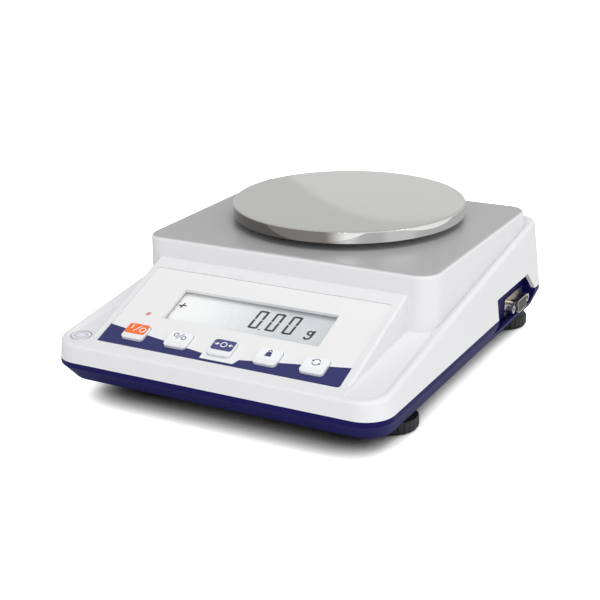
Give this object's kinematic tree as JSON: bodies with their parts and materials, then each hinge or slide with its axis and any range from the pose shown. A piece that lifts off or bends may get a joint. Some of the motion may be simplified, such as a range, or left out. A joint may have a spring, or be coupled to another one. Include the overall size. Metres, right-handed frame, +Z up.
{
  "type": "laboratory balance",
  "caption": "Top-loading laboratory balance with a round steel pan on a load cell, sloping key and display panel, serial port and screw feet.",
  "frame": {"origin": "on the bench under the middle of the footprint", "axes": "+X to the right seen from the front, +Y towards the back, +Z up"},
  "size_m": [0.2, 0.25, 0.0863],
  "materials": {
    "housing_white": "fine satin moulded ABS",
    "base_blue": "moulded ABS",
    "pan_steel": "brushed stainless",
    "aluminium": "machined",
    "steel": "zinc plated",
    "brass": "turned",
    "rubber_black": "moulded",
    "knob_black": "knurled nylon",
    "film_print": "printed polyester film",
    "window_clear": "clear acrylic",
    "lcd": "liquid crystal cell",
    "board_green": "solder mask",
    "black_plastic": "moulded",
    "white_plastic": "moulded",
    "key_orange": "printed key",
    "key_white": "printed key",
    "key_navy": "printed key",
    "lamp_red": "tinted epoxy",
    "level_liquid": "clear liquid under acrylic",
    "shield_tin": "tinned steel",
    "port_plate": "tin plated",
    "lead_grey": "PVC sheath"
  },
  "bodies": {
    "weighing_pan": {"weighing_pan": "pan_steel"},
    "pan_carrier": {"pan_support": "aluminium", "pan_buffers": "rubber_black", "support_screw": "steel", "carrier_bridge": "aluminium", "cell_free_screws": "steel"},
    "power_key": {"power_key": "key_orange", "power_plunger": "white_plastic"},
    "unit_key": {"unit_key": "key_white", "unit_plunger": "white_plastic"},
    "tare_key": {"tare_key": "key_navy", "tare_plunger": "white_plastic"},
    "calibrate_key": {"calibrate_key": "key_white", "calibrate_plunger": "white_plastic"},
    "convert_key": {"convert_key": "key_white", "convert_plunger": "white_plastic"},
    "front_left_foot_pad": {"front_left_foot_pad": "rubber_black"},
    "front_left_foot": {"front_left_foot_knob": "knob_black", "front_left_foot_stud": "steel"},
    "front_right_foot_pad": {"front_right_foot_pad": "rubber_black"},
    "front_right_foot": {"front_right_foot_knob": "knob_black", "front_right_foot_stud": "steel"},
    "rear_left_foot_pad": {"rear_left_foot_pad": "rubber_black"},
    "rear_left_foot": {"rear_left_foot_knob": "knob_black", "rear_left_foot_stud": "steel"},
    "rear_right_foot_pad": {"rear_right_foot_pad": "rubber_black"},
    "rear_right_foot": {"rear_right_foot_knob": "knob_black", "rear_right_foot_stud": "steel"},
    "chassis": {"analog_shield": "shield_tin", "base_plate_screws": "steel", "base_tray": "base_blue", "board_headers": "white_plastic", "board_screws": "steel", "buzzer": "black_plastic", "cell_base_plate": "steel", "cell_fixed_screws": "steel", "cell_fixed_spacer": "aluminium", "display_board": "board_green", "display_window": "window_clear", "foot_inserts": "brass", "housing_screws": "steel", "internal_leads": "lead_grey", "key_switches": "black_plastic", "lcd_glass": "lcd", "lcd_holder": "white_plastic", "level_cup": "white_plastic", "level_vial": "level_liquid", "load_cell": "aluminium", "main_board": "board_green", "overload_stops": "steel", "panel_film": "film_print", "power_jack": "black_plastic", "processor_chip": "black_plastic", "serial_insulator": "black_plastic", "serial_jackscrews": "steel", "serial_pins": "brass", "serial_shell": "port_plate", "status_lamp": "lamp_red", "strain_gauges": "white_plastic", "upper_housing": "housing_white"}
  },
  "joints": [
    {"name": "weighing_travel", "type": "slide", "parent": "chassis", "child": "pan_carrier", "axis": [0, 0, -1], "range_m": [0, 0.0003], "stiffness_N_per_m": 80000},
    {"name": "pan_lift", "type": "slide", "parent": "pan_carrier", "child": "weighing_pan", "axis": [0, 0, 1], "range_m": [0, 0.03]},
    {"name": "power_press", "type": "slide", "parent": "chassis", "child": "power_key", "axis": [0, 0.3502, -0.9367], "range_m": [0, 0.0005], "stiffness_N_per_m": 3000, "springref_m": -0.0001},
    {"name": "unit_press", "type": "slide", "parent": "chassis", "child": "unit_key", "axis": [0, 0.3502, -0.9367], "range_m": [0, 0.0005], "stiffness_N_per_m": 3000, "springref_m": -0.0001},
    {"name": "tare_press", "type": "slide", "parent": "chassis", "child": "tare_key", "axis": [0, 0.3502, -0.9367], "range_m": [0, 0.0005], "stiffness_N_per_m": 3000, "springref_m": -0.0001},
    {"name": "calibrate_press", "type": "slide", "parent": "chassis", "child": "calibrate_key", "axis": [0, 0.3502, -0.9367], "range_m": [0, 0.0005], "stiffness_N_per_m": 3000, "springref_m": -0.0001},
    {"name": "convert_press", "type": "slide", "parent": "chassis", "child": "convert_key", "axis": [0, 0.3502, -0.9367], "range_m": [0, 0.0005], "stiffness_N_per_m": 3000, "springref_m": -0.0001},
    {"name": "front_left_foot_height", "type": "slide", "parent": "chassis", "child": "front_left_foot_pad", "axis": [0, 0, -1], "range_m": [-0.004, 0.004]},
    {"name": "front_left_foot_turn", "type": "hinge", "parent": "front_left_foot_pad", "child": "front_left_foot", "pos_m": [-0.082, -0.069, 0.0015], "axis": [0, 0, 1], "range_deg": [-1440, 1440]},
    {"name": "front_right_foot_height", "type": "slide", "parent": "chassis", "child": "front_right_foot_pad", "axis": [0, 0, -1], "range_m": [-0.004, 0.004]},
    {"name": "front_right_foot_turn", "type": "hinge", "parent": "front_right_foot_pad", "child": "front_right_foot", "pos_m": [0.082, -0.069, 0.0015], "axis": [0, 0, 1], "range_deg": [-1440, 1440]},
    {"name": "rear_left_foot_height", "type": "slide", "parent": "chassis", "child": "rear_left_foot_pad", "axis": [0, 0, -1], "range_m": [-0.004, 0.004]},
    {"name": "rear_left_foot_turn", "type": "hinge", "parent": "rear_left_foot_pad", "child": "rear_left_foot", "pos_m": [-0.082, 0.102, 0.0015], "axis": [0, 0, 1], "range_deg": [-1440, 1440]},
    {"name": "rear_right_foot_height", "type": "slide", "parent": "chassis", "child": "rear_right_foot_pad", "axis": [0, 0, -1], "range_m": [-0.004, 0.004]},
    {"name": "rear_right_foot_turn", "type": "hinge", "parent": "rear_right_foot_pad", "child": "rear_right_foot", "pos_m": [0.082, 0.102, 0.0015], "axis": [0, 0, 1], "range_deg": [-1440, 1440]}
  ],
  "couplings": [
    {"joint": "front_left_foot_turn", "follows": "front_left_foot_height", "rad_per_m": -6283.2},
    {"joint": "front_right_foot_turn", "follows": "front_right_foot_height", "rad_per_m": -6283.2},
    {"joint": "rear_left_foot_turn", "follows": "rear_left_foot_height", "rad_per_m": -6283.2},
    {"joint": "rear_right_foot_turn", "follows": "rear_right_foot_height", "rad_per_m": -6283.2}
  ]
}
